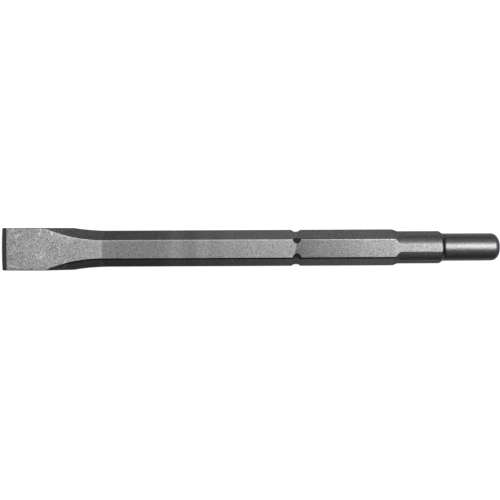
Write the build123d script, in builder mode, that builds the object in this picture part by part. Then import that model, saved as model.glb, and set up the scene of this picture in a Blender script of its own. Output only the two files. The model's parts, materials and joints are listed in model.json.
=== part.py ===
"""Flat chisel for a breaking hammer: one forging, drawn from three-quarter inch hexagonal bar.

The tool lies along X on one flat of its hexagon, with the cutting edge at -X and the struck end
at +X.  Z is up, and the origin is on the bench under the middle of its length.  All sizes are in
millimetres.

It is made in the order in which the real one is made.  The bar is cut and one end is drawn out into
a fishtail blade.  The blade is trimmed to width, the other end is turned down, and a pocket is
pressed into each corner of the hexagon.
"""

from build123d import *
import os
from math import cos, radians, sin, sqrt

# ---------------------------------------------------------------- driving dimensions
OVERALL_LENGTH = 300.0
HEX_ACROSS_FLATS = 19.05
HEX_CORNER_RADIUS = 0.4

# Stations along the tool, counted from the cutting edge.
BEVEL_END = 3.4
EDGE_FLARE_END = 28.0  # the blade's sides run straight from here
CREASE = 62.8  # the blade's faces start to slope from the bar here
FLARE_START = 65.5  # the bar's sides start to spread here
POCKET_STATION = 177.9
COLLAR_TAPER_START = 236.1
COLLAR_START = 239.0
HEAD_TAPER_START = 264.1
HEAD_START = 266.3

# Blade.
BLADE_WIDTH = 25.4
EDGE_WIDTH = 25.8
BLADE_END_THICKNESS = 3.4  # where the ground bevel begins
EDGE_LAND = 0.3  # the cutting edge is left slightly blunt
EDGE_BOW = 0.3  # the edge stands this much further out in the middle than at its corners
EDGE_CORNER_RADIUS = 0.7
SIDE_FLARE_RADIUS = 133.0  # of the fishtail's outline, seen from above
FACE_FLARE_RADIUS = 91.0  # of the border between its face and its flank

# Turned end.
COLLAR_DIAMETER = 19.55  # just over the flats, so that six narrow flats stay
HEAD_DIAMETER = 16.55
HEAD_ROUND_RADIUS = 4.0
CROWN_DIAMETER = 10.4
CROWN_RADIUS = 40.0

# Retaining pockets, one pressed by a ball into each corner of the hexagon.
CORNERS = 6
POCKET_BALL_RADIUS = 2.4
POCKET_BALL_CENTRE = 11.1  # from the tool's axis

# ---------------------------------------------------------------- derived sizes
AXIS_HEIGHT = HEX_ACROSS_FLATS / 2
CORNER_REACH = HEX_ACROSS_FLATS / sqrt(3)  # axis to a sharp corner of the hexagon
HALF_LENGTH = OVERALL_LENGTH / 2
FLARE_SECTIONS = 7

# The fishtail's face has spread past the blade's side here, and only a plain wedge is left.
WIDE_SPREAD = BLADE_WIDTH / 2 - CORNER_REACH / 2 + HEX_CORNER_RADIUS
WIDE_STATION = CREASE - sqrt(FACE_FLARE_RADIUS**2 - (FACE_FLARE_RADIUS - WIDE_SPREAD) ** 2)


def along(station):
    """X of a station that is counted from the cutting edge."""
    return station - HALF_LENGTH


def section_plane(station):
    """The plane across the tool at a station, on the tool's axis: its x is Y and its y is Z."""
    return Plane(origin=(along(station), 0, AXIS_HEIGHT), x_dir=(0, 1, 0), z_dir=(1, 0, 0))


# The upright plane through the tool's axis: its x is X, and its y is the distance from the axis.
SIDE_PLANE = Plane(origin=(0, 0, AXIS_HEIGHT), x_dir=(1, 0, 0), z_dir=(0, -1, 0))


def spread(start, radius, station):
    """How far an edge has spread at a station, along an arc that leaves the bar at start."""
    run = max(0.0, start - station)
    return radius - sqrt(radius**2 - run**2)


def half_thickness(station):
    """Half the thickness of the wedge between the ground bevel and the crease, and of the bar."""
    share = (station - BEVEL_END) / (CREASE - BEVEL_END)
    thin = BLADE_END_THICKNESS / 2
    return min(AXIS_HEIGHT, thin + share * (AXIS_HEIGHT - thin))


# ---------------------------------------------------------------- fishtail, before it is trimmed
with BuildPart() as fishtail:
    for start, end in ((FLARE_START, CREASE), (CREASE, WIDE_STATION)):
        for step in range(FLARE_SECTIONS):
            station = start + step / (FLARE_SECTIONS - 1) * (end - start)
            rise = half_thickness(station)
            face = CORNER_REACH / 2 + spread(CREASE, FACE_FLARE_RADIUS, station)
            side = CORNER_REACH + spread(FLARE_START, SIDE_FLARE_RADIUS, station)
            with BuildSketch(section_plane(station)) as forged_section:
                with BuildLine():
                    upper = Polyline((side, 0), (face, rise), (-face, rise), (-side, 0))
                    mirror(upper, about=Plane.XZ)
                make_face()
                fillet(forged_section.vertices(), HEX_CORNER_RADIUS)
        loft()

# ---------------------------------------------------------------- wedge, from the edge to the fishtail
with BuildPart() as wedge:
    with BuildSketch(SIDE_PLANE) as wedge_side_view:
        with BuildLine():
            upper = Polyline(
                (along(0), 0),
                (along(0), EDGE_LAND / 2),
                (along(BEVEL_END), BLADE_END_THICKNESS / 2),
                (along(WIDE_STATION), half_thickness(WIDE_STATION)),
                (along(WIDE_STATION), 0),
            )
            mirror(upper, about=Plane.XZ)
        make_face()
    extrude(amount=EDGE_WIDTH, both=True)

# ---------------------------------------------------------------- what the shears leave, from above
with BuildPart() as trimmed_outline:
    with BuildSketch() as plan:
        with BuildLine():
            side, corner = BLADE_WIDTH / 2, EDGE_WIDTH / 2
            ThreePointArc((along(EDGE_BOW), -corner), (along(0), 0), (along(EDGE_BOW), corner))
            Polyline(
                (along(EDGE_BOW), corner),
                (along(EDGE_FLARE_END), side),
                (HALF_LENGTH, side),
                (HALF_LENGTH, -side),
                (along(EDGE_FLARE_END), -side),
                (along(EDGE_BOW), -corner),
            )
        make_face()
        fillet(plan.vertices().group_by(Axis.X)[0], EDGE_CORNER_RADIUS)
    extrude(amount=HEX_ACROSS_FLATS)

# ---------------------------------------------------------------- what the lathe leaves
with BuildPart() as turned_envelope:
    with BuildSketch(SIDE_PLANE) as turning_profile:
        with BuildLine():
            collar = COLLAR_DIAMETER / 2
            head = HEAD_DIAMETER / 2
            crown = CROWN_DIAMETER / 2
            round_rise = crown - head + HEAD_ROUND_RADIUS
            crown_start = OVERALL_LENGTH - CROWN_RADIUS + sqrt(CROWN_RADIUS**2 - crown**2)
            round_start = crown_start - sqrt(HEAD_ROUND_RADIUS**2 - round_rise**2)
            Polyline(
                (along(OVERALL_LENGTH), 0),
                (along(0), 0),
                (along(0), EDGE_WIDTH),
                (along(COLLAR_TAPER_START), EDGE_WIDTH),
                (along(COLLAR_TAPER_START), CORNER_REACH),
                (along(COLLAR_START), collar),
                (along(HEAD_TAPER_START), collar),
                (along(HEAD_START), head),
                (along(round_start), head),
            )
            TangentArc((along(round_start), head), (along(crown_start), crown), tangent=(1, 0))
            RadiusArc((along(crown_start), crown), (along(OVERALL_LENGTH), 0), CROWN_RADIUS)
        make_face()
    revolve(axis=Axis((0, 0, AXIS_HEIGHT), (1, 0, 0)))

# ---------------------------------------------------------------- chisel
with BuildPart() as chisel:
    with BuildSketch(section_plane(FLARE_START)) as bar_section:
        RegularPolygon(HEX_ACROSS_FLATS / 2, CORNERS, major_radius=False)
        fillet(bar_section.vertices(), HEX_CORNER_RADIUS)
    extrude(amount=OVERALL_LENGTH - FLARE_START)
    add(fishtail.part)
    add(wedge.part)
    add(trimmed_outline.part, mode=Mode.INTERSECT)
    add(turned_envelope.part, mode=Mode.INTERSECT)

    for corner in range(CORNERS):
        angle = radians(corner * 360 / CORNERS)
        pocket = (
            along(POCKET_STATION),
            POCKET_BALL_CENTRE * cos(angle),
            AXIS_HEIGHT + POCKET_BALL_CENTRE * sin(angle),
        )
        with Locations(pocket):
            Sphere(POCKET_BALL_RADIUS, mode=Mode.SUBTRACT)

chisel.part.label = "chisel"

os.makedirs("parts", exist_ok=True)
export_step(chisel.part, "parts/chisel.step")
print("chisel", chisel.part.bounding_box(), "volume", round(chisel.part.volume))
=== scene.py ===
# %% [markdown]
# # A flat chisel for a breaking hammer
#
# The real tool is one forging. A smith's hammer drew one end of a hexagonal bar out into a fishtail
# blade, a lathe turned the other end down, and a ball was pressed into each corner of the bar.
# Then the whole tool was blasted with fine shot. So this lesson has one piece to make, and its looks
# come from its edges, its skin and its light.

# %% [markdown]
# ## The frame
#
# The tool was drawn in a CAD program first, and that drawing is loaded here as a frame: it says where
# the tool lies, how big it is and which way it points. Blender works in metres and drawings in
# millimetres, so one value, MM, turns the one into the other. Sizes that the frame holds are read
# from it and not typed again.

import json
from math import pi, radians, sin, sqrt

import bmesh
import bpy
from mathutils import Matrix, Vector


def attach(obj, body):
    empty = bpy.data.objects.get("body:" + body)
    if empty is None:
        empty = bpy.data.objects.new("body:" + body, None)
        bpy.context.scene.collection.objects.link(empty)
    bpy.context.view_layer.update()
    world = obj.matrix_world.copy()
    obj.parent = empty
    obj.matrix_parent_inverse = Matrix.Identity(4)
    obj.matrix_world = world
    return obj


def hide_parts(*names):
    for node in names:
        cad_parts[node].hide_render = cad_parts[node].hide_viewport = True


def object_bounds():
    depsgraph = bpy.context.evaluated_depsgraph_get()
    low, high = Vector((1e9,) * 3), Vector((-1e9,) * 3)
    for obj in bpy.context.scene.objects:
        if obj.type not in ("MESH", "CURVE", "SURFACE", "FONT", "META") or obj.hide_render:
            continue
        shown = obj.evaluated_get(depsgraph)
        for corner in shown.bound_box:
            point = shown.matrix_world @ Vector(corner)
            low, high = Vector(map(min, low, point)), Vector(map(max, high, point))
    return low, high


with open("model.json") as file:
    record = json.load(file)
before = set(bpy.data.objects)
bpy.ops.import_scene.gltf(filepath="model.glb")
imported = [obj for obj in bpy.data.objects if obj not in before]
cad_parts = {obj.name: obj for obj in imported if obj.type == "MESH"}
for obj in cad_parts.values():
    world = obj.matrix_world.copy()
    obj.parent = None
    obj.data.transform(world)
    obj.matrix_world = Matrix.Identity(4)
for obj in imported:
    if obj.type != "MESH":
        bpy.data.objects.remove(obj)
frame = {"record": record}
cad_low, cad_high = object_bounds()
MM = 0.001
length = cad_high.x - cad_low.x
edge_width = cad_high.y - cad_low.y
across_flats = cad_high.z - cad_low.z
axis_height = (cad_low.z + cad_high.z) / 2
mounts = {mount["name"]: mount for mount in frame["record"]["mounts"]}
print(f"{length / MM:.1f} mm long, {edge_width / MM:.1f} wide, {across_flats / MM:.2f} across flats")

# %% [markdown]
# ## Sums that build node trees
#
# A shape that follows a rule is best written as the rule. A Geometry Nodes tree can hold it, but a
# long sum takes dozens of Math nodes, and each one made by hand hides the sum. This helper wraps a
# socket, so that plain arithmetic in Python adds the Math nodes. It serves shader trees as well.


# %% Arithmetic on sockets
def plug(tree, value, socket):
    """Sets an input to a plain value, or links it to a field."""
    if isinstance(value, Field):
        tree.links.new(value.socket, socket)
    else:
        socket.default_value = value


class Field:
    """A number that a node tree works out, one for each point or shading sample."""

    def __init__(self, tree, socket):
        self.tree = tree
        self.socket = socket

    def math(self, operation, *others):
        node = self.tree.nodes.new("ShaderNodeMath")
        node.operation = operation
        for place, value in enumerate((self, *others)):
            plug(self.tree, value, node.inputs[place])
        return Field(self.tree, node.outputs[0])

    def __add__(self, other):
        return self.math("ADD", other)

    def __sub__(self, other):
        return self.math("SUBTRACT", other)

    def __mul__(self, other):
        return self.math("MULTIPLY", other)

    def __truediv__(self, other):
        return self.math("DIVIDE", other)

    def __neg__(self):
        return self * -1.0

    def __rsub__(self, other):
        return -self + other

    __radd__ = __add__
    __rmul__ = __mul__

    def squared(self):
        return self * self

    def root(self):
        """The square root, taking anything below nothing as nothing."""
        return self.at_least(0.0).math("SQRT")

    def at_least(self, other):
        return self.math("MAXIMUM", other)

    def at_most(self, other):
        return self.math("MINIMUM", other)

    def between(self, low, high):
        return self.at_least(low).at_most(high)

    def ramp(self, start, end):
        """0 before start, 1 after end, and straight in between."""
        return ((self - start) / (end - start)).between(0.0, 1.0)


arithmetic = [name for name in vars(Field) if not name.startswith("__")]
print("a socket now works in plain sums, and also has", ", ".join(arithmetic))


# %% Nodes by name, and vectors
def new_node(tree, kind, output, **inputs):
    """One output, as a field, of a new node whose inputs are set or linked by name."""
    node = tree.nodes.new(kind)
    for name, value in inputs.items():
        plug(tree, value, node.inputs[name.replace("_", " ")])
    return Field(tree, node.outputs[output])


def vector_of(tree, x, y, z):
    """Three numbers as one vector."""
    return new_node(tree, "ShaderNodeCombineXYZ", "Vector", X=x, Y=y, Z=z)


def parts_of(tree, vector):
    """A vector as its three numbers."""
    node = tree.nodes.new("ShaderNodeSeparateXYZ")
    tree.links.new(vector.socket, node.inputs[0])
    return [Field(tree, output) for output in node.outputs]


print("helpers: new_node, vector_of, parts_of")

# %% [markdown]
# Noise stands behind most of what looks natural on steel. The same helper serves the shape and the
# finish. Its texture gives 0 to 1, and values to both sides of nothing are easier to add to
# something, so it stretches them. Each use has a seed of its own, and so looks different from the
# others but the same on every run.


# %% Noise
def noise_of(tree, vector, scale, seed, detail=2.0):
    """Smooth noise from about -1 to 1. The fourth coordinate is the seed."""
    node = tree.nodes.new("ShaderNodeTexNoise")
    node.noise_dimensions = "4D"
    for name, value in {"Vector": vector, "W": seed, "Scale": scale, "Detail": detail}.items():
        plug(tree, value, node.inputs[name])
    return Field(tree, node.outputs[0]) * 2.0 - 1.0


print("helper: noise_of")

# %% [markdown]
# ## A net to stretch over the tool
#
# The piece starts as a flat net of quads that knows where each of its points belongs. Rows are
# stations along the tool, close together where the shape turns and wide apart on the plain bar.
# Columns go round the section. The same columns serve the hexagon, the blade and the round end, so
# the tool's long edges follow lines of the net and aren't stepped.

# %% Sizes along the tool
# Each station is counted from the cutting edge.
bevel_end = 3.4 * MM
crease = 62.8 * MM
flare_start = 65.5 * MM
pocket_station = mounts["retaining_pockets"]["pos_m"][0] - cad_low.x
collar_taper_start = 236.1 * MM
collar_start = 239.0 * MM
head_taper_start = 264.1 * MM
head_start = 266.3 * MM
edge_land = 0.3 * MM

head_radius = mounts["striker_shank"]["dims"]["r_mm"] * MM
head_round_radius = 4.0 * MM
crown_rim = 5.2 * MM
crown_radius = 40.0 * MM
crown_start = length - crown_radius + sqrt(crown_radius**2 - crown_rim**2)
round_depth = crown_rim - head_radius + head_round_radius
head_round_start = crown_start - sqrt(head_round_radius**2 - round_depth**2)
print(f"the crown starts {(length - crown_start) / MM:.2f} mm before the struck end")

# %% [markdown]
# Rows belong where the shape turns. A corner across the tool, such as the end of the ground bevel,
# needs a few rows a tenth of a millimetre apart to look crisp. The bar between the corners is
# straight, and about one row every millimetre carries its skin. So the rows are laid out stretch by
# stretch, each with a step of its own.

# %% Rows along the tool
stations = [0.0]


def walk_to(end, step):
    """Adds evenly spaced stations up to end, about a step apart."""
    start = stations[-1]
    count = max(1, round((end - start) / step))
    stations.extend(start + (end - start) * k / count for k in range(1, count + 1))


walk_to(edge_land / 2, 0.04 * MM)
walk_to(bevel_end - 0.2 * MM, 0.35 * MM)
walk_to(bevel_end + 0.2 * MM, 0.1 * MM)
walk_to(crease - 1.5 * MM, 0.85 * MM)
walk_to(crease + 1.0 * MM, 0.2 * MM)
walk_to(pocket_station - 4.0 * MM, 1.2 * MM)
walk_to(pocket_station + 4.0 * MM, 0.25 * MM)
walk_to(collar_taper_start - 0.4 * MM, 1.2 * MM)
walk_to(collar_start + 0.4 * MM, 0.22 * MM)
walk_to(head_taper_start - 0.4 * MM, 1.2 * MM)
walk_to(head_start + 0.6 * MM, 0.2 * MM)
walk_to(head_round_start, 1.2 * MM)
walk_to(crown_start, 0.28 * MM)

# The crown closes on the axis, so its rows are even across it and not along it.
CROWN_ROWS = 10
for row in range(CROWN_ROWS - 1, -1, -1):
    ring = crown_rim * row / CROWN_ROWS
    stations.append(length - crown_radius + sqrt(crown_radius**2 - ring**2))
print(len(stations), "rows")

# %% [markdown]
# A quarter of the section is one walk in five legs, numbered 0 to 5: along half of the top flat,
# round its corner, down the slanted flank, round the next corner, and down the side to the middle.
# On the bar the last leg has no length, and on the blade the third has none. Their points meet there
# and are merged, which leaves a clean fan where a leg fades out.

# %% Points round the section
corner_radius = 0.4 * MM
collar_radius = 9.775 * MM

# Where the collar's cylinder cuts a flat, as a share of the flat's straight half. A column stands
# there, with one close by on each side, so that the line between flat and cylinder stays sharp.
straight_half = (across_flats / 2 - corner_radius) / sqrt(3)
collar_edge = sqrt(collar_radius**2 - (across_flats / 2) ** 2) / straight_half
EDGE_HOLD = 0.025
past_edge = collar_edge + EDGE_HOLD

half_flat = [collar_edge * k / 5 for k in range(5)]
half_flat += [collar_edge - EDGE_HOLD, collar_edge, past_edge]
half_flat += [past_edge + (1 - past_edge) * k / 9 for k in range(1, 10)]

quarter = list(half_flat)
quarter += [1 + k / 4 for k in range(1, 5)]
quarter += [2.5 - share / 2 for share in reversed(half_flat[:-1]) if share > 0]
quarter += [2.5 + share / 2 for share in half_flat]
quarter += [3 + k / 3 for k in range(1, 4)]
quarter += [4 + k / 6 for k in range(1, 7)]

# Round the section once, as (leg, left or right, over or under).
around = [(leg, 1.0, 1.0) for leg in quarter]
around += [(leg, 1.0, -1.0) for leg in reversed(quarter[:-1])]
around += [(leg, -1.0, -1.0) for leg in quarter[1:]]
around += [(leg, -1.0, 1.0) for leg in reversed(quarter[1:-1])]
print(len(around), "columns")

# %% [markdown]
# The net itself is plain mesh code: a point for each row and column, and a quad between neighbours.
# A point's real place comes later, from the tree. All that a point carries is four marks, which are
# its station, its leg of the walk and its two sides. Marks on a mesh are attributes, and every node
# tree can read them by name.


# %% The net
def make_net(name, rows, columns):
    """A tube of quads that isn't shaped yet. Each point knows its station, leg and sides."""
    points = [(station, side_y * leg * MM, side_z * MM) for station in rows
              for leg, side_y, side_z in columns]
    wide = len(columns)
    quads = []
    for row in range(len(rows) - 1):
        for column in range(wide):
            beside = (column + 1) % wide
            quads.append((row * wide + column, row * wide + beside,
                          (row + 1) * wide + beside, (row + 1) * wide + column))
    mesh = bpy.data.meshes.new(name)
    mesh.from_pydata(points, [], quads)
    marks = {"station": [station for station in rows for _ in columns]}
    for place, mark in enumerate(("leg", "side_y", "side_z")):
        marks[mark] = [column[place] for _ in rows for column in columns]
    for mark, values in marks.items():
        mesh.attributes.new(mark, "FLOAT", "POINT").data.foreach_set("value", values)
    net = bpy.data.objects.new(name, mesh)
    bpy.context.scene.collection.objects.link(net)
    return net


net = make_net("chisel_forging", stations, around)
print(len(net.data.polygons), "quads in the net")

# %% [markdown]
# ## The rule of the forging
#
# The tree below places every point of the net. It works in the order in which the tool is made:
# the hexagon is pressed thinner and its sides spread, the shears trim it to width, the lathe turns
# the far end, and balls press the pockets. Last, a shallow noise moves the skin by hundredths of a
# millimetre, because a forged face is never quite flat. The sizes are named inputs of the modifier,
# set from the table below, so each can be changed in the table and the forging follows.

# %% Sizes of the forging
forging_sizes = {
    "Length": length,
    "Across Flats": across_flats,
    "Axis Height": axis_height,
    "Corner Radius": corner_radius,
    "Corner Wander": 0.3,
    "Edge Width": edge_width,
    "Blade Width": 25.4 * MM,
    "Edge Flare End": 28.0 * MM,
    "Blade End Thickness": 3.4 * MM,
    "Bevel End": bevel_end,
    "Edge Land": edge_land,
    "Edge Bow": 0.3 * MM,
    "Edge Corner Radius": 0.7 * MM,
    "Crease": crease,
    "Crease Wander": 0.5 * MM,
    "Flare Start": flare_start,
    "Side Flare Radius": 133.0 * MM,
    "Face Flare Radius": 91.0 * MM,
    "Collar Taper Start": collar_taper_start,
    "Collar Start": collar_start,
    "Collar Radius": collar_radius,
    "Head Taper Start": head_taper_start,
    "Head Start": head_start,
    "Head Radius": head_radius,
    "Head Round Start": head_round_start,
    "Head Round Radius": head_round_radius,
    "Crown Radius": crown_radius,
    "Pocket Station": pocket_station,
    "Ball Radius": 2.4 * MM,
    "Ball Centre": 11.1 * MM,
    "Blade Relief": 0.018 * MM,
    "Bar Relief": 0.012 * MM,
    "Seed": 4.0,
}
print(len(forging_sizes), "sizes for the forging")


# %% Start the tree
def start_tree(name, sizes):
    """A new geometry tree with named inputs, as (tree, incoming geometry, fields by name)."""
    tree = bpy.data.node_groups.new(name, "GeometryNodeTree")
    tree.interface.new_socket("Geometry", in_out="INPUT", socket_type="NodeSocketGeometry")
    tree.interface.new_socket("Geometry", in_out="OUTPUT", socket_type="NodeSocketGeometry")
    for size, value in sizes.items():
        socket = tree.interface.new_socket(size, in_out="INPUT", socket_type="NodeSocketFloat")
        socket.default_value = value
    entry = tree.nodes.new("NodeGroupInput")
    fields = {size: Field(tree, entry.outputs[size]) for size in sizes}
    return tree, entry.outputs["Geometry"], fields


def mark_of(tree, name):
    """A field that reads one of the net's marks."""
    node = tree.nodes.new("GeometryNodeInputNamedAttribute")
    node.data_type = "FLOAT"
    node.inputs["Name"].default_value = name
    return Field(tree, node.outputs["Attribute"])


tree, geometry_in, size = start_tree("forging", forging_sizes)
station = mark_of(tree, "station")
leg = mark_of(tree, "leg")
side_y = mark_of(tree, "side_y")
side_z = mark_of(tree, "side_z")
print("the tree reads 4 marks of each point")

# %% [markdown]
# ### The blade's thickness
#
# Seen from the side, the hammer pressed the end of the bar into a plain wedge, and the grinder took a
# short bevel off its tip. That is three straight lines, and a drawn outline could hold them too. As
# a rule they give half the thickness at every station, and Smooth Minimum joins them with the small
# round that a hammer and a grinder leave.

# %% Half the thickness
half_flats = size["Across Flats"] / 2.0
half_land = size["Edge Land"] / 2.0
half_end = size["Blade End Thickness"] / 2.0

# The cutting edge is a small round, and the ground bevel rises from it.
rounding = station.at_most(half_land)
edge_round = (half_land.squared() - (half_land - rounding).squared()).root()
bevel_rise = (half_end - half_land) / (size["Bevel End"] - half_land)
bevel = edge_round + (station - half_land).at_least(0.0) * bevel_rise

# The hammer's crease wanders a little across the face, but not where legs of the walk merge. The
# upper and the under face read the noise far apart, so that their creases differ.
OTHER_FACE = 7.0
across = leg.between(0.0, 1.0) * side_y
wander_at = vector_of(tree, across, side_z * OTHER_FACE, 0.0)
wander = noise_of(tree, wander_at, 2.6, size["Seed"], detail=4.0)
wander = wander * station.ramp(size["Crease"] - 9.0 * MM, size["Crease"] - 1.0 * MM)
pressed_at = station + wander * size["Crease Wander"]
wedge_rise = (half_flats - half_end) / (size["Crease"] - size["Bevel End"])
wedge = half_end + (pressed_at - size["Bevel End"]) * wedge_rise

half_thick = bevel.math("SMOOTH_MIN", wedge, 0.04 * MM).math("SMOOTH_MIN", half_flats, 0.03 * MM)
half_thick = half_thick.at_least(0.0)
print(len(tree.nodes), "nodes up to the thickness")

# %% [markdown]
# ### The blade's width
#
# Steel that is pressed thinner goes sideways, so the corners of the bar run out into a fishtail. Each
# of them leaves the bar along an arc: a wide one for the tool's sides, and a tighter one for the
# border between face and flank. The smith then trims the sides to width, and that is a plain limit,
# with a small round at the two corners of the cutting edge.


# %% Spread and trim
def spread_of(start, radius, station):
    """How far an edge has spread, along an arc that leaves the bar's own edge at start."""
    return radius - (radius.squared() - (start - station).at_least(0.0).squared()).root()


reach = size["Across Flats"] / sqrt(3)
face = reach / 2.0 + spread_of(size["Crease"], size["Face Flare Radius"], station)
side = reach + spread_of(size["Flare Start"], size["Side Flare Radius"], station)

half_edge = size["Edge Width"] / 2.0
half_blade = size["Blade Width"] / 2.0
edge_corner = size["Edge Corner Radius"]
corner_cut = edge_corner - (
    edge_corner.squared() - (edge_corner - station.at_most(edge_corner)).squared()
).root()
trim_in = (half_blade - half_edge) * station.ramp(0.0, size["Edge Flare End"])
half_width = half_edge - corner_cut + trim_in
print(len(tree.nodes), "nodes up to the width")

# %% [markdown]
# ### The walk round the section
#
# Now each row has a section, and each point has to find its own place on it. Rolled bar has rounded
# corners, 0.4 mm here. A Bevel modifier could round them, but not on a blade that thins to nothing.
# So the corners are arcs about the corners of a smaller section, inset by their radius, and the
# radius fades with the thickness. A slow noise varies it a little, because corners get rubbed.

# %% Slope of the flank and radius of the corners
NO_THICKNESS = 1e-7
rise = half_thick.at_least(NO_THICKNESS)
rubbed_at = vector_of(tree, station, side_y, 0.0)
rubbed = 1.0 + size["Corner Wander"] * noise_of(tree, rubbed_at, 90.0, size["Seed"] + 3.0, detail=3.0)
radius = (size["Corner Radius"] * rubbed).at_most(rise * 0.8)
flank_run = (side - face).at_least(0.5 * MM)
slope = (rise.squared() + flank_run.squared()).root()
lean_cos = rise / slope
lean_sin = flank_run / slope
lean = lean_sin.math("ARCTAN2", lean_cos)
print(len(tree.nodes), "nodes up to the slope")

# %% Corners of the inset section
inset_top = rise - radius
inset_side = half_width - radius
inset_flank = lean_cos * side - radius
top_corner = ((inset_flank - lean_sin * inset_top) / lean_cos).at_most(inset_side)
side_corner = (inset_flank / lean_cos).at_most(inset_side)
side_corner_height = (inset_flank - lean_cos * side_corner) / lean_sin
side_corner_height = side_corner_height.at_least(0.0).at_most(inset_top)
print(len(tree.nodes), "nodes up to the corners")

# %% The five legs
along_top = leg.between(0.0, 1.0)
turn_one = (leg - 1.0).between(0.0, 1.0)
down_flank = (leg - 2.0).between(0.0, 1.0)
turn_two = (leg - 3.0).between(0.0, 1.0)
down_side = (leg - 4.0).between(0.0, 1.0)

facing = pi / 2 + (lean - pi / 2) * turn_one - lean * turn_two
out_y = top_corner * along_top + (side_corner - top_corner) * down_flank
out_y = out_y + radius * facing.math("COSINE")
out_z = inset_top + (side_corner_height - inset_top) * down_flank - side_corner_height * down_side
out_z = out_z + radius * facing.math("SINE")
print(len(tree.nodes), "nodes up to the section")

# %% [markdown]
# ### The lathe
#
# At its other end the bar is turned: a collar just over the flats, a shoulder, and a slim head with a
# rounded end and a slightly crowned face. A Boolean with a turned body would cut this, but it leaves
# slivers where it runs along a flat. A lathe is simpler than that: at each station it leaves nothing
# further from the axis than its tool stands, so every point is pulled in to that distance.

# %% Collar, shoulder and head
collar_rise = (reach - size["Collar Radius"]) / (size["Collar Start"] - size["Collar Taper Start"])
collar = size["Collar Radius"] + (size["Collar Start"] - station).at_least(0.0) * collar_rise
shoulder_run = size["Head Start"] - size["Head Taper Start"]
shoulder_fall = (size["Collar Radius"] - size["Head Radius"]) / shoulder_run
shoulder_line = collar - (station - size["Head Taper Start"]).at_least(0.0) * shoulder_fall
shaft = shoulder_line.math("SMOOTH_MAX", size["Head Radius"], 0.2 * MM)
print(f"the collar stands {(collar_radius - head_radius) / MM:.2f} mm over the head")

# %% The rounded end and its crown
round_radius = size["Head Round Radius"]
round_run = (station - size["Head Round Start"]).at_least(0.0)
rounded_end = size["Head Radius"] - round_radius + (round_radius.squared() - round_run.squared()).root()
crown_run = station - size["Length"] + size["Crown Radius"]
crown = (size["Crown Radius"].squared() - crown_run.squared()).root()
before_head = 1.0 - station.ramp(size["Head Taper Start"], size["Head Start"])
tool_stands = shaft.at_most(rounded_end.at_least(0.0).at_most(crown) + before_head)

from_axis = (out_y.squared() + out_z.squared()).root().at_least(1e-9)
turned_reach = from_axis.at_most(tool_stands)
print(len(tree.nodes), "nodes up to the lathe")

# %% [markdown]
# ### The pockets
#
# The hammer's locking ball drops into a pocket, and there is one in each corner of the hexagon, so
# that the chisel can be put in any way round. A press makes them, and each is the near side of a ball
# that sits on a corner. Points inside a ball are pulled in to its surface. The angle is folded into
# one sixth of a turn first, so that one sum makes all six pockets.

# %% Press the balls in
sixth = pi / 3
angle = out_z.math("ARCTAN2", out_y)
off_corner = ((angle / sixth + 0.5).math("FRACT") - 0.5) * sixth
off_station = station - size["Pocket Station"]
ball_across = size["Ball Centre"] * off_corner.math("SINE")
inside = size["Ball Radius"].squared() - off_station.squared() - ball_across.squared()
ball_face = size["Ball Centre"] * off_corner.math("COSINE") - inside.root()
OUTSIDE_THE_BALL = 120.0
ball_face = ball_face + (-inside).at_least(0.0) * OUTSIDE_THE_BALL
kept_reach = turned_reach.math("SMOOTH_MIN", ball_face, 0.3 * MM)
pull_in = kept_reach / from_axis
print(len(tree.nodes), "nodes up to the pockets")

# %% [markdown]
# ### Put the points there
#
# The sums so far describe one quarter of the section. Its marks turn it into the other three by their
# signs, and Set Position moves every point to its place. The cutting edge also bows out a little in
# its middle, as hand grinding leaves it. Where a leg of the walk has no length its points coincide,
# and Merge by Distance makes one of them.

# %% Place the points
bow = size["Edge Bow"] * (out_y / half_width).squared() * (1.0 - station.ramp(0.0, 8.0 * MM))
place = vector_of(
    tree,
    station + bow - size["Length"] / 2.0,
    out_y * pull_in * side_y,
    out_z * pull_in * side_z + size["Axis Height"],
)
shape = tree.nodes.new("GeometryNodeSetPosition")
tree.links.new(geometry_in, shape.inputs["Geometry"])
plug(tree, place, shape.inputs["Position"])

merge = tree.nodes.new("GeometryNodeMergeByDistance")
merge.inputs["Distance"].default_value = 0.002 * MM
tree.links.new(shape.outputs["Geometry"], merge.inputs["Geometry"])
print(len(tree.nodes), "nodes up to the plain forging")

# %% [markdown]
# ### The skin's relief
#
# No forged face is flat. The hammer leaves long shallow waves with smaller dents on them, most on the
# blade, less on the rolled bar, and hardly any where the lathe or the grinder cut. A Displace
# modifier would treat all of it alike, so two noises push the points along their normals here, by
# hundredths of a millimetre, and the finish of each stretch says by how much.

# %% Weather the skin
position = new_node(tree, "GeometryNodeInputPosition", "Position")
normal = new_node(tree, "GeometryNodeInputNormal", "Normal")
on_blade = 1.0 - station.ramp(size["Crease"], size["Crease"] + 1.5 * MM)
on_bevel = 1.0 - station.ramp(size["Bevel End"], size["Bevel End"] + 0.2 * MM)
on_lathe = station.ramp(size["Collar Taper Start"], size["Collar Start"])
waves = noise_of(tree, position, 130.0, size["Seed"] + 1.0)
dents = noise_of(tree, position, 420.0, size["Seed"] + 2.0, detail=3.0)
bar_relief = size["Bar Relief"] * (1.0 - on_lathe * 0.8)
blade_relief = (size["Blade Relief"] - size["Bar Relief"]) * (on_blade - on_bevel).at_least(0.0)
relief = (waves * 0.6 + dents * 0.4) * (bar_relief + blade_relief)
relief = relief * (1.0 - on_bevel * 0.7) * station.ramp(0.0, 1.0 * MM)

push = tree.nodes.new("ShaderNodeVectorMath")
push.operation = "SCALE"
plug(tree, normal, push.inputs[0])
plug(tree, relief, push.inputs["Scale"])
skin = tree.nodes.new("GeometryNodeSetPosition")
tree.links.new(merge.outputs["Geometry"], skin.inputs["Geometry"])
tree.links.new(push.outputs["Vector"], skin.inputs["Offset"])
print(len(tree.nodes), "nodes up to the skin")
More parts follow.
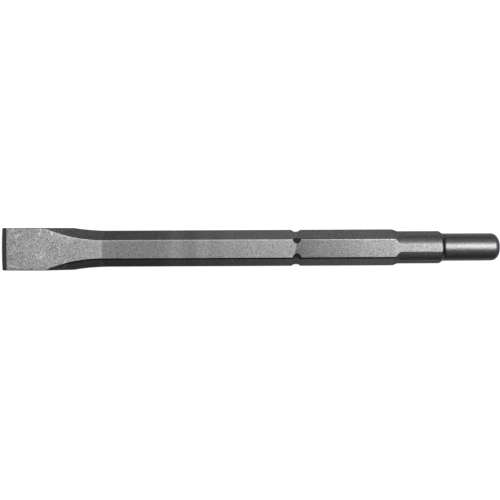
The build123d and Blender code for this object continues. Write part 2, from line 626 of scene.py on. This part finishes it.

# %% [markdown]
# ### Marks for the finish and for painted light and shade
#
# Some of the finish follows the shape, and so does some painted light. The corners on the +Y side get
# a painted highlight along them, and just past the corners that face away the steel gets painted
# shade. The pockets kept their scale. The tree knows exactly where these are, and a material would
# have to guess. So the tree leaves a mark on the points for each, from 0 to 1, and the steel's shader
# reads it as an attribute.


# %% Marks that the steel will read
def keep_mark(tree, geometry, name, field):
    """Stores a field on the points, so that a material can read it."""
    node = tree.nodes.new("GeometryNodeStoreNamedAttribute")
    node.data_type = "FLOAT"
    node.domain = "POINT"
    node.inputs["Name"].default_value = name
    tree.links.new(geometry, node.inputs["Geometry"])
    plug(tree, field, node.inputs["Value"])
    return node.outputs["Geometry"]


has_flank = ((side_corner - top_corner) / (0.5 * MM)).between(0.0, 1.0)
top_edge = along_top.ramp(0.90, 0.97) * (1.0 - turn_one.ramp(0.5, 1.0)) * has_flank
under_edge = turn_one.ramp(0.0, 0.4) * (1.0 - down_flank.ramp(0.08, 0.16))
side_edge = down_flank.ramp(0.93, 1.0) * (1.0 - down_side.ramp(0.0, 0.2)) * has_flank
unturned = 1.0 - ((from_axis - turned_reach) / (0.2 * MM)).between(0.0, 1.0)
# Painted highlight along the corners on the +Y side, painted shade just past those on the other side.
bright_side = side_y.between(0.0, 1.0)
finish_marks = {
    "painted_edge_highlight": (top_edge * bright_side).at_least(side_edge * 0.5) * unturned,
    "painted_edge_shade": under_edge * (1.0 - bright_side) * unturned,
    # Where the flanks lie: the shader gives the shank's flats more painted shade than its flanks.
    "flank": down_flank.ramp(0.0, 0.1) * (1.0 - down_side.ramp(0.0, 0.2)),
    "pocket": ((turned_reach - kept_reach) / (0.18 * MM)).between(0.0, 1.0),
    "forged": ((half_flats - half_thick) / (0.06 * MM)).between(0.0, 1.0),
}
geometry = skin.outputs["Geometry"]
for mark, field in finish_marks.items():
    geometry = keep_mark(tree, geometry, mark, field)
print("kept on the points:", ", ".join(finish_marks))

# %% Close the tree
steel = bpy.data.materials.new("forged_steel")
realize = tree.nodes.new("GeometryNodeRealizeInstances")
tree.links.new(geometry, realize.inputs["Geometry"])
dress = tree.nodes.new("GeometryNodeSetMaterial")
dress.inputs["Material"].default_value = steel
tree.links.new(realize.outputs["Geometry"], dress.inputs["Geometry"])
leave = tree.nodes.new("NodeGroupOutput")
tree.links.new(dress.outputs["Geometry"], leave.inputs["Geometry"])
print(len(tree.nodes), "nodes in the forging's whole tree")

# %% [markdown]
# ## From the rule to a plain mesh
#
# The modifier is set by its sockets' identifiers, the evaluated object gives a plain mesh, and the
# modifier is removed. Its normals are worked out again, so that they all face out.


# %% Turn the modifier's result into a plain mesh
def apply_tree(obj, tree, sizes):
    """Runs the tree on the object and keeps the result as its plain mesh."""
    modifier = obj.modifiers.new(tree.name, "NODES")
    modifier.node_group = tree
    for item in tree.interface.items_tree:
        if item.in_out == "INPUT" and item.name in sizes:
            modifier[item.identifier] = sizes[item.name]
    depsgraph = bpy.context.evaluated_depsgraph_get()
    mesh = bpy.data.meshes.new_from_object(obj.evaluated_get(depsgraph))
    obj.modifiers.clear()
    obj.data = mesh
    return obj


chisel = apply_tree(net, tree, forging_sizes)
chisel.data.name = chisel.name
print(len(chisel.data.vertices), "points after merging")

# %% Face the faces out
shell = bmesh.new()
shell.from_mesh(chisel.data)
bmesh.ops.recalc_face_normals(shell, faces=shell.faces)
open_edges = sum(1 for edge in shell.edges if not edge.is_manifold)
print(len(shell.faces), "faces,", open_edges, "open edges,", f"{shell.calc_volume() * 1e6:.2f} cm3")
shell.to_mesh(chisel.data)
shell.free()
for mark in ("station", "leg", "side_y", "side_z"):
    chisel.data.attributes.remove(chisel.data.attributes[mark])
chisel.data.shade_smooth()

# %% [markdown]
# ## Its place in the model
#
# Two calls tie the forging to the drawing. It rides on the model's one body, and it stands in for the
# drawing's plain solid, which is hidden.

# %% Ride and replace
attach(chisel, "root")
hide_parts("chisel")
print(chisel.name, "rides on root and stands for the solid named chisel")

# %% [markdown]
# ## Blasted steel
#
# Bare steel is a metal: it has no colour under its reflection, so its base colour is the colour of
# its reflection, and nearly all of its looks come from how rough it is. Fine shot leaves a skin of
# tiny dimples. The dimples are too small to model, so a bump gives their slopes, and a little
# variation of the base colour gives the grain that they make. Everything reads Object coordinates,
# which are metres on the tool, so each pattern has its real size and doesn't stretch.

# %% Start the steel
steel.use_nodes = True
paint = steel.node_tree
shader = paint.nodes["Principled BSDF"]
spot = new_node(paint, "ShaderNodeTexCoord", "Object")
x, y, z = parts_of(paint, spot)
from_edge = x + length / 2


def painted_mark(name):
    """A mark that the forging's tree left on the mesh."""
    node = paint.nodes.new("ShaderNodeAttribute")
    node.attribute_name = name
    return Field(paint, node.outputs["Fac"])


# Painted highlight along the +Y corners, and painted shade past the corners on the other side.
painted_edge_highlight = painted_mark("painted_edge_highlight")
painted_edge_shade = painted_mark("painted_edge_shade")
flank = painted_mark("flank")
pocket = painted_mark("pocket")
forged = painted_mark("forged")
print("the steel reads Object coordinates and 5 marks")

# %% [markdown]
# ### Where each finish lies
#
# The tool has five finishes along its length: the ground bevel, the hammered blade, the blasted bar,
# the darker shank that goes into the machine, and the turned end with its head. Each gets a mask, 1
# where it lies and 0 elsewhere, that changes over a few tenths of a millimetre. The shank starts
# at the pockets, on a slightly slanted line, as a dip in the hardening bath leaves it. Five materials
# would have to follow whole faces of the mesh. Masks in one material put each border where it is.

# %% Masks along the tool
ground = 1.0 - from_edge.ramp(bevel_end - 0.1 * MM, bevel_end + 0.1 * MM)
DIP_SLANT = 0.2
from_dip = from_edge - y * DIP_SLANT - pocket_station
shank = from_dip.ramp(-0.9 * MM, -0.4 * MM)
turned = from_edge.ramp(collar_taper_start, collar_taper_start + 0.3 * MM)
head = from_edge.ramp(head_taper_start, head_taper_start + 0.3 * MM)
# Painted shade on the shoulder, in the corner where the collar steps down to the head.
shoulder = head * (1.0 - from_edge.ramp(head_start + 0.2 * MM, head_start + 0.9 * MM))
hex_shank = shank * (1.0 - turned)
blade_face = forged * (1.0 - ground)
hammered = blade_face * (1.0 - from_edge.ramp(34.0 * MM, 52.0 * MM) * 0.85)
print(len(paint.nodes), "nodes up to the masks")

# %% [markdown]
# ### The grain
#
# Fine shot leaves dimples about a third of a millimetre across, side by side and all alike. Smooth
# noise has that look when it has one size only. A second, weaker noise of a larger size keeps it from
# looking woven, and slow patches lighten and darken whole stretches. The noises are built on a grid
# that shows where a flat lies along it, so the two finer ones read coordinates turned askew.

# %% Noises for the grain
askew = vector_of(paint, x * 0.9 + y * 0.4, y * 0.9 - x * 0.4, z + x * 0.3)
fine = noise_of(paint, askew, 2700.0, 1.0, detail=0.0)
coarse = noise_of(paint, askew, 1000.0, 2.0, detail=1.0)
patches = noise_of(paint, vector_of(paint, x, y * 0.5, z * 0.5), 55.0, 3.0, detail=1.0)
grain = (fine * 1.8 + coarse * 0.12) * (1.0 + hex_shank * 0.15 - head * 0.3)
print(len(paint.nodes), "nodes up to the grain")

# %% [markdown]
# ### Veins and specks on the blade
#
# When the hammer thins the hot steel, its scale cracks and some is beaten in. That leaves fine bright
# lines that wander and fork, most of them near the edge. The borders between Voronoi cells fork just
# so. Noise bends them, and a mask keeps short pieces of them, in two sizes. Two more noises give the
# small dark and bright specks between them.


# %% Cracks, as borders of cells
def cracks_of(tree, x, y, z, cell, seed):
    """How far a point is, in metres, from the nearest border between rough cells of a size."""
    here = vector_of(tree, x, y, z)
    bend = noise_of(tree, here, 0.8 / cell, seed, detail=1.5) * cell * 0.3
    sway = noise_of(tree, here, 0.9 / cell, seed + 0.5, detail=1.5) * cell * 0.3
    node = tree.nodes.new("ShaderNodeTexVoronoi")
    node.feature = "DISTANCE_TO_EDGE"
    node.voronoi_dimensions = "4D"
    plug(tree, vector_of(tree, x + bend, y + sway, z), node.inputs["Vector"])
    node.inputs["W"].default_value = seed
    node.inputs["Scale"].default_value = 1.0 / cell
    return Field(tree, node.outputs["Distance"]) * cell


print("helper: cracks_of")

# %% Veins and specks
VEIN_WIDTH = 0.36 * MM
veins = 0.0
for cell, seed, bare in ((7.5 * MM, 5.0, 0.08), (4.5 * MM, 7.0, 0.18)):
    pieces = noise_of(paint, spot, 130.0, seed + 1.0, detail=1.0).ramp(bare, bare + 0.15)
    vein = (1.0 - cracks_of(paint, x, y, z, cell, seed) / VEIN_WIDTH).at_least(0.0) * pieces
    veins = vein.at_least(veins)
dark_specks = noise_of(paint, spot, 800.0, 9.0, detail=0.0).ramp(0.45, 0.65)
bright_specks = noise_of(paint, spot, 600.0, 10.0, detail=0.5).ramp(0.42, 0.62)
print(len(paint.nodes), "nodes up to the veins")

# %% [markdown]
# ### Base colour
#
# The steel is grey, so one number, its tone, gives all three colours. It starts as the bar's tone with
# the grain on it, and then each finish and the painted highlights and shade multiply it. A product of
# plain factors is easy to tune, because each factor says by what share its finish is lighter or darker
# than the bar. The bar itself gets a few soft lighter and darker bands across it.

# %% Tone of the bar
BAR_TONE = 0.50
BAND_PITCH = 17.7 * MM
BAND_START = 105.6 * MM
tone = BAR_TONE * (1.0 + grain * (0.68 + hammered * 0.5) + patches * 0.14)
bands = ((from_edge - BAND_START) * (2 * pi / BAND_PITCH)).math("COSINE") * 0.11

# The bands fade in by 106 mm from the cutting edge and are gone by 142 mm.
bands = bands * from_edge.ramp(98.0 * MM, 106.0 * MM) * (1.0 - from_edge.ramp(124.0 * MM, 142.0 * MM))

# Up to 94 mm from the cutting edge the bar is a tenth darker, and from 104 mm on a tenth lighter.
lift = from_edge.ramp(94.0 * MM, 104.0 * MM) * 0.20 - 0.10
tone = tone * (1.0 + (1.0 - blade_face) * (lift + bands))
print("bar: tone", BAR_TONE, "before its grain and bands")

# %% Tone of the blade
near_edge = 1.0 - from_edge.ramp(4.0 * MM, 24.0 * MM)
near_bar = from_edge.ramp(45.0 * MM, 58.0 * MM)
rim = from_edge.ramp(crease - 2.2 * MM, crease - 1.0 * MM)
tone = tone * (1.0 - blade_face * near_edge * 0.18)
tone = tone * (1.0 + blade_face * (rim * 0.09 + near_bar * 0.05)) * (1.0 - ground * 0.45)
tone = tone * (1.0 + hammered * (veins + bright_specks * 0.2 - dark_specks * 0.25))
print("blade: up to 18% darker towards the edge, and up to 14% lighter towards the bar")

# %% Tone of the shank and the turned end
# The shank is darker, and its flats get painted shade as well, so they darken by 46% and its flanks by
# 16%.
# It darkens once more before the collar, and the shoulder gets painted shade in its corner.
shank_end = (1.0 - turned) * from_edge.ramp(218.0 * MM, 232.0 * MM)
tone = tone * (1.0 - hex_shank * (0.46 - flank * 0.30) - turned * (0.34 + head * 0.04))
tone = tone * (1.0 - shank_end * 0.13) * (1.0 - shoulder * 0.6)
print("shank: 46% darker than the bar, and 16% on its flanks; turned end: 34%, its head: 38%")

# %% Corners and pockets
POCKET_TONE = 0.045
# The corners: a painted highlight on the +Y side, and painted shade past them on the other side.
tone = tone * (1.0 + painted_edge_highlight * 0.7) * (1.0 - painted_edge_shade * 0.95)
tone = tone + (POCKET_TONE - tone) * pocket
tone = tone.between(0.02, 0.95)
colour = new_node(paint, "ShaderNodeCombineColor", "Color", Red=tone, Green=tone, Blue=tone)
plug(paint, colour, shader.inputs["Base Color"])
print(len(paint.nodes), "nodes up to the colour")

# %% [markdown]
# ### Metal and roughness
#
# Scale is an oxide and no metal, so where it fills the pockets the Metallic input goes down to 0.
# Roughness decides how wide a highlight spreads. The ground bevel, the shank and the turned end are
# smoother than the bar, and the scale in the pockets and the painted shade past the corners are
# rougher. The values change with the same masks as the tone, so a change of finish is seen in both
# at once.

# %% Metallic and roughness
plug(paint, 1.0 - pocket, shader.inputs["Metallic"])
rough = 0.46 - ground * 0.1
rough = rough - shank * 0.14 + turned * 0.09 - head * 0.035
rough = rough + coarse * 0.03 + pocket * 0.4 + painted_edge_shade * 0.2
plug(paint, rough.between(0.12, 0.9), shader.inputs["Roughness"])
print(len(paint.nodes), "nodes up to the roughness")

# %% [markdown]
# ### Bump
#
# A bump tilts the surface for the light without moving it. The same grain that gives the tone gives
# the height here, so light and dark dimples sit on real slopes, and the veins stand up a little. The
# whole height is about a hundredth of a millimetre, as shot leaves it.

# %% Dimples as a bump
dimples = grain * (0.6 + blade_face * 0.5) * (1.0 - ground * 0.6) + veins * hammered * 2.0
bump = paint.nodes.new("ShaderNodeBump")
bump.inputs["Strength"].default_value = 1.0
bump.inputs["Distance"].default_value = 0.012 * MM
plug(paint, dimples, bump.inputs["Height"])
paint.links.new(bump.outputs["Normal"], shader.inputs["Normal"])
print(len(paint.nodes), "nodes in the whole steel")

# %% [markdown]
# ## The camera
#
# The camera looks straight down from above, a little off the tool's axis on its +Y side, so that
# more shows of that flank than of the other. A lens shift brings the tool back to the middle of the
# frame, as a technical camera does, and keeps the ends of the blade square.

# %% Camera
DISTANCE = 0.400  # metres above the tool's axis
VIEW_WIDTH = 0.30275  # metres across the picture at that distance
ROLL = radians(0.28)
SHIFT = -0.0651  # of the picture's width
stand = Vector((0.34 * MM, 18.5 * MM, axis_height + DISTANCE))
camera_data = bpy.data.cameras.new("camera")
camera_data.lens = camera_data.sensor_width * DISTANCE / VIEW_WIDTH
camera_data.shift_y = SHIFT
camera_data.clip_start = 0.01
camera_data.clip_end = 50.0
camera = bpy.data.objects.new("camera", camera_data)
bpy.context.scene.collection.objects.link(camera)
camera.matrix_world = Matrix.Translation(stand) @ Matrix.Rotation(-ROLL, 4, "Z")
bpy.context.scene.camera = camera
print(f"a {camera_data.lens:.0f} mm lens, {DISTANCE / MM:.0f} mm above the tool's axis")

# %% [markdown]
# ## The light
#
# Two softboxes stand over the tool, a strong one towards the struck end and a weak one towards the
# blade. Steel shows the shapes of its lights, so large soft ones give its flats an even tone, and
# the faces that slope away from them, such as the bevel and the flanks, stay dark.


# %% Softboxes
def softbox(name, lean_x, lean_y, distance, size_x, size_y, radiance):
    """A softbox that faces the tool from an angle off the vertical, in degrees along X and Y."""
    data = bpy.data.lights.new(name, "AREA")
    data.shape = "RECTANGLE"
    data.size = size_x
    data.size_y = size_y
    data.energy = radiance * pi * size_x * size_y
    light = bpy.data.objects.new(name, data)
    toward = Vector((sin(radians(lean_x)), sin(radians(lean_y)), 0.0))
    toward.z = sqrt(1 - toward.x**2 - toward.y**2)
    turn = toward.to_track_quat("Z", "Y").to_matrix().to_4x4()
    light.matrix_world = Matrix.Translation(toward * distance) @ turn
    bpy.context.scene.collection.objects.link(light)
    return light


strong = softbox("softbox_strong", 28, 9, 0.9, 0.5, 0.50, 3.8)
weak = softbox("softbox_weak", -39, 8, 0.9, 0.5, 0.55, 1.5)
for light in (strong, weak):
    print(light.name, [round(place, 2) for place in light.location], f"{light.data.energy:.2f} W")

# %% [markdown]
# ## The room
#
# A metal with nothing around it to reflect is black. So the steel gets a dim room, worked out from
# the direction of each ray: a paler ceiling, pale walls at table height on the +X and +Y sides, and
# a floor that is paler towards the struck end. The camera itself sees plain white in its place.

# %% A dim room
world = bpy.data.worlds.new("studio")
bpy.context.scene.world = world
world.use_nodes = True
room = world.node_tree
background = room.nodes["Background"]
facing_x, facing_y, facing_z = parts_of(room, new_node(room, "ShaderNodeTexCoord", "Generated"))
below = (-facing_z).ramp(0.1, 0.6)
above = facing_z.ramp(0.2, 0.85)
walls = facing_z.ramp(0.05, 0.3) * (1.0 - facing_z.ramp(0.55, 0.8))
walls = walls * (0.5 + facing_x * 0.35 + facing_y * 0.35).between(0.0, 1.0)
room_tone = (
    0.045 + facing_y * 0.03
    + below * (0.10 + facing_y * 0.04 + facing_x * 0.56)
    + above * 0.07 + walls * 0.12
).at_least(0.02)
seen = new_node(room, "ShaderNodeLightPath", "Is Camera Ray")
room_tone = room_tone.at_least(seen)
background.inputs["Color"].default_value = (1.0, 1.0, 1.0, 1.0)
plug(room, room_tone, background.inputs["Strength"])
print(len(room.nodes), "nodes in the room")

# %% [markdown]
# ## The paper
#
# The tool lies on a sheet of white paper, lit from below like a light table, so that its shadow
# nearly goes. The glow is a little weaker under the tool, which leaves a soft shadow where the two
# touch. The paper's own light would wash out the underside, so it is kept out of the steel's
# reflections, and the room stands in for it there.

# %% The sheet
FLOOR_REACH = 6.0
sheet_corners = [(sign_x * FLOOR_REACH, sign_y * FLOOR_REACH, 0)
                 for sign_x, sign_y in ((-1, -1), (1, -1), (1, 1), (-1, 1))]
floor_mesh = bpy.data.meshes.new("floor")
floor_mesh.from_pydata(sheet_corners, [], [(0, 1, 2, 3)])
floor = bpy.data.objects.new("floor", floor_mesh)
floor.location.z = -0.05 * MM
bpy.context.scene.collection.objects.link(floor)
print("a sheet", 2 * FLOOR_REACH, "m square")

# %% The paper's glow
paper = bpy.data.materials.new("paper")
paper.use_nodes = True
paper_shader = paper.node_tree.nodes["Principled BSDF"]
paper_shader.inputs["Base Color"].default_value = (0.9, 0.9, 0.9, 1.0)
paper_shader.inputs["Roughness"].default_value = 0.9
paper_shader.inputs["Emission Color"].default_value = (1, 1, 1, 1)
paper_spot = new_node(paper.node_tree, "ShaderNodeTexCoord", "Object")
paper_x, paper_y, _ = parts_of(paper.node_tree, paper_spot)
from_tool = (paper_x.squared() + paper_y.squared()).root()
glow = 0.8 + from_tool.ramp(0.4, 2.0) * 0.2
plug(paper.node_tree, glow, paper_shader.inputs["Emission Strength"])
floor.data.materials.append(paper)
floor.visible_glossy = False
floor.visible_diffuse = False
floor.visible_shadow = False
bpy.context.scene.view_settings.view_transform = "Standard"
print("the paper glows with 0.8 under the tool and 1.0 away from it")

# %% [markdown]
# ## The end
